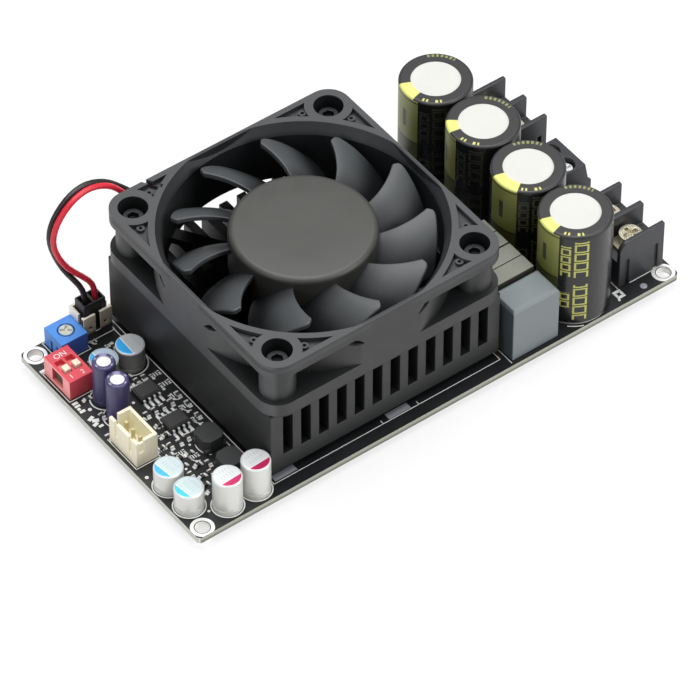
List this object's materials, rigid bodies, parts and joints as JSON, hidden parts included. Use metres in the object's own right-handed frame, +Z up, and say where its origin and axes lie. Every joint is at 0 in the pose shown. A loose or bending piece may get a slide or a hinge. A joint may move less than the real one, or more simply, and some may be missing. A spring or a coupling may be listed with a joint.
{
  "type": "audio amplifier board",
  "caption": "Rectangular circuit board with a fan-cooled finned heatsink, bulk capacitors, screw terminals, input header, switch and trimmer that amplifies an audio signal.",
  "frame": {"origin": "centre of the corner-hole pattern, on the underside of the board", "axes": "+X along the long edge towards the screw terminals, +Y along the short edge towards the fan lead, +Z up out of the component side"},
  "size_m": [0.125, 0.0669, 0.0404],
  "materials": {
    "board_mask": "satin",
    "solder": "satin",
    "black_anodised": "satin anodised",
    "screw_steel": "satin",
    "soft_pad": "matte",
    "chip_black": "matte",
    "lead_tin": "satin",
    "dark_ferrite": "matte",
    "chip_ceramic": "matte",
    "frame_charcoal": "satin",
    "impeller_grey": "satin",
    "bronze": "satin",
    "iron": "satin",
    "copper": "enamelled",
    "motor_board_green": "satin",
    "wire_red": "satin",
    "wire_black": "satin",
    "plug_black": "satin",
    "header_ivory": "satin",
    "trimmer_blue": "satin",
    "rotor_ivory": "satin",
    "switch_red": "satin",
    "slider_ivory": "satin",
    "can_aluminium": "satin",
    "sleeve_black": "gloss",
    "sleeve_purple": "gloss",
    "polymer_can": "satin",
    "film_grey": "satin",
    "core_grey": "matte",
    "terminal_black": "satin",
    "contact_brass": "satin",
    "screw_nickel": "satin"
  },
  "bodies": {
    "board": {"circuit_board": "board_mask", "solder_joints": "solder", "heatsink": "black_anodised", "heatsink_screws": "screw_steel", "thermal_pad": "soft_pad", "amplifier_chip": "chip_black", "chip_leads": "lead_tin", "op_amps": "chip_black", "shielded_inductors": "dark_ferrite", "chip_parts": "chip_ceramic", "fan_frame": "frame_charcoal", "fan_bearing": "bronze", "stator_core": "iron", "stator_coils": "copper", "motor_board": "motor_board_green", "fan_screws": "screw_steel", "fan_lead_red": "wire_red", "fan_lead_black": "wire_black", "fan_plug": "plug_black", "fan_header": "header_ivory", "header_pins": "lead_tin", "trimmer_body": "trimmer_blue", "switch_body": "switch_red", "input_header": "header_ivory", "bulk_can_1": "can_aluminium", "bulk_can_2": "can_aluminium", "bulk_can_3": "can_aluminium", "bulk_can_4": "can_aluminium", "bulk_sleeve_1": "sleeve_black", "bulk_sleeve_2": "sleeve_black", "bulk_sleeve_3": "sleeve_black", "bulk_sleeve_4": "sleeve_black", "electrolytic_1": "sleeve_purple", "electrolytic_2": "sleeve_purple", "blue_capacitor_1": "polymer_can", "blue_capacitor_2": "polymer_can", "blue_capacitor_3": "polymer_can", "blue_capacitor_4": "polymer_can", "magenta_capacitor_1": "polymer_can", "magenta_capacitor_2": "polymer_can", "film_capacitor": "film_grey", "choke_cores": "core_grey", "choke_coils": "copper", "barrier_block_1": "terminal_black", "barrier_block_2": "terminal_black", "wire_terminal": "terminal_black", "terminal_contacts": "contact_brass"},
    "rotor": {"fan_impeller": "impeller_grey", "fan_shaft": "screw_steel", "rotor_yoke": "iron", "rotor_magnet": "dark_ferrite"},
    "trimmer": {"trimmer_rotor": "rotor_ivory"},
    "slider_1": {"switch_slider_1": "slider_ivory"},
    "slider_2": {"switch_slider_2": "slider_ivory"},
    "barrier_screw_1": {"barrier_screw_1": "screw_nickel"},
    "barrier_screw_2": {"barrier_screw_2": "screw_nickel"},
    "barrier_screw_3": {"barrier_screw_3": "screw_nickel"},
    "barrier_screw_4": {"barrier_screw_4": "screw_nickel"},
    "wire_screw_1": {"wire_screw_1": "screw_steel"},
    "wire_screw_2": {"wire_screw_2": "screw_steel"}
  },
  "joints": [
    {"name": "fan_spin", "type": "hinge", "parent": "board", "child": "rotor", "pos_m": [-0.0122, 0.0003, 0.026], "axis": [0, 0, 1], "continuous": true},
    {"name": "trimmer_turn", "type": "hinge", "parent": "board", "child": "trimmer", "pos_m": [-0.05325, 0.0281, 0.0065], "axis": [0, 0, 1], "range_deg": [-105, 105]},
    {"name": "slider_1_slide", "type": "slide", "parent": "board", "child": "slider_1", "axis": [0, 1, 0], "range_m": [0, 0.002]},
    {"name": "slider_2_slide", "type": "slide", "parent": "board", "child": "slider_2", "axis": [0, 1, 0], "range_m": [0, 0.002]},
    {"name": "barrier_screw_1_turn", "type": "hinge", "parent": "board", "child": "barrier_screw_1", "pos_m": [0.0555, 0.02368, 0.0106], "axis": [0, 0, 1], "range_deg": [-45, 720]},
    {"name": "barrier_screw_2_turn", "type": "hinge", "parent": "board", "child": "barrier_screw_2", "pos_m": [0.0555, 0.01632, 0.0106], "axis": [0, 0, 1], "range_deg": [-45, 720]},
    {"name": "barrier_screw_3_turn", "type": "hinge", "parent": "board", "child": "barrier_screw_3", "pos_m": [0.0555, -0.01632, 0.0106], "axis": [0, 0, 1], "range_deg": [-45, 720]},
    {"name": "barrier_screw_4_turn", "type": "hinge", "parent": "board", "child": "barrier_screw_4", "pos_m": [0.0555, -0.02368, 0.0106], "axis": [0, 0, 1], "range_deg": [-45, 720]},
    {"name": "wire_screw_1_turn", "type": "hinge", "parent": "board", "child": "wire_screw_1", "pos_m": [0.0571, 0.00544, 0.0096], "axis": [0, 0, 1], "range_deg": [-45, 720]},
    {"name": "wire_screw_2_turn", "type": "hinge", "parent": "board", "child": "wire_screw_2", "pos_m": [0.0571, 0.00036, 0.0096], "axis": [0, 0, 1], "range_deg": [-45, 720]}
  ]
}
